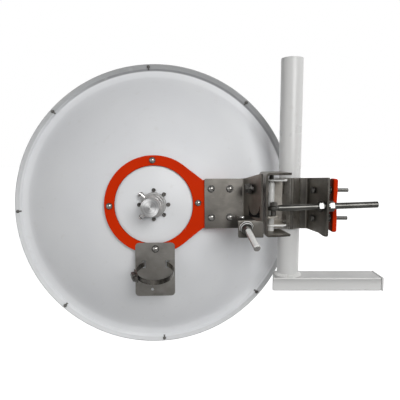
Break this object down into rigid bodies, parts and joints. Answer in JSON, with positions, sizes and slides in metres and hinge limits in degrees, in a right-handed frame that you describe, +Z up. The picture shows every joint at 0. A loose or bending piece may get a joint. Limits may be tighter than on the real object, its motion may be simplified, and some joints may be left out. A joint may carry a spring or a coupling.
{
  "type": "microwave dish antenna",
  "caption": "Parabolic microwave antenna with a covered reflector, an azimuth and elevation head, and a clamp on an upright pole with a side arm.",
  "frame": {"origin": "middle of the side arm's outer end face, by which the whole antenna is held", "axes": "+X along the arm, out of its end face; +Z up along the pole; the dish's back faces -Y and it aims along +Y"},
  "size_m": [0.8526, 0.3325, 0.6711],
  "materials": {
    "white_paint": "satin white paint",
    "reflector_paint": "satin pale grey paint",
    "radome_cover": "matte white shell",
    "orange_paint": "satin orange-red paint",
    "stainless_steel": "brushed, scuffed",
    "bright_steel": "bright fasteners",
    "machined_aluminium": "turned"
  },
  "bodies": {
    "base": {"arm_end_plate": "white_paint", "inner_azimuth_nut": "bright_steel", "jaw_bar": "orange_paint", "lower_jaw_stud": "bright_steel", "lower_left_strap_stud": "bright_steel", "lower_lug": "stainless_steel", "lower_right_strap_stud": "bright_steel", "lower_strap": "stainless_steel", "mast_bracket": "stainless_steel", "outer_azimuth_nut": "bright_steel", "pivot_pin": "bright_steel", "pole": "white_paint", "pole_weld": "white_paint", "support_arm": "white_paint", "upper_jaw_stud": "bright_steel", "upper_left_strap_stud": "bright_steel", "upper_lug": "stainless_steel", "upper_right_strap_stud": "bright_steel", "upper_strap": "stainless_steel"},
    "azimuth_head": {"azimuth_channel": "stainless_steel", "rod_swivel": "bright_steel", "swivel_ear": "stainless_steel", "elevation_bolt": "bright_steel", "elevation_nut": "bright_steel", "elevation_bush": "bright_steel"},
    "azimuth_rod": {"azimuth_rod": "bright_steel"},
    "reflector": {"band_screw": "bright_steel", "bracket_bolt_1": "bright_steel", "bracket_bolt_2": "bright_steel", "bracket_bolt_3": "bright_steel", "bracket_bolt_4": "bright_steel", "cable_band": "stainless_steel", "cable_plate": "stainless_steel", "cable_plate_bolt": "bright_steel", "elevation_clip": "stainless_steel", "elevation_rod": "bright_steel", "elevation_rod_nut": "bright_steel", "feed_hub": "machined_aluminium", "mounting_ring": "orange_paint", "radome": "radome_cover", "reflector": "reflector_paint", "reflector_bracket": "stainless_steel", "ring_bolt_1": "bright_steel", "ring_bolt_2": "bright_steel", "ring_bolt_3": "bright_steel"}
  },
  "joints": [
    {"name": "azimuth", "type": "hinge", "parent": "base", "child": "azimuth_head", "pos_m": [-0.262, -0.07, 0.1889], "axis": [0, 0, 1], "range_deg": [-5, 5]},
    {"name": "azimuth_rod_swivel", "type": "hinge", "parent": "azimuth_head", "child": "azimuth_rod", "pos_m": [-0.262, -0.1, 0.1808], "axis": [0, 0, 1], "range_deg": [-5, 5]},
    {"name": "elevation", "type": "hinge", "parent": "azimuth_head", "child": "reflector", "pos_m": [-0.26134, -0.08138, 0.2195], "axis": [0.9983, 0.0576, 0], "range_deg": [-5, 5]}
  ],
  "couplings": [
    {"joint": "azimuth_rod_swivel", "follows": "azimuth", "ratio": -1}
  ]
}
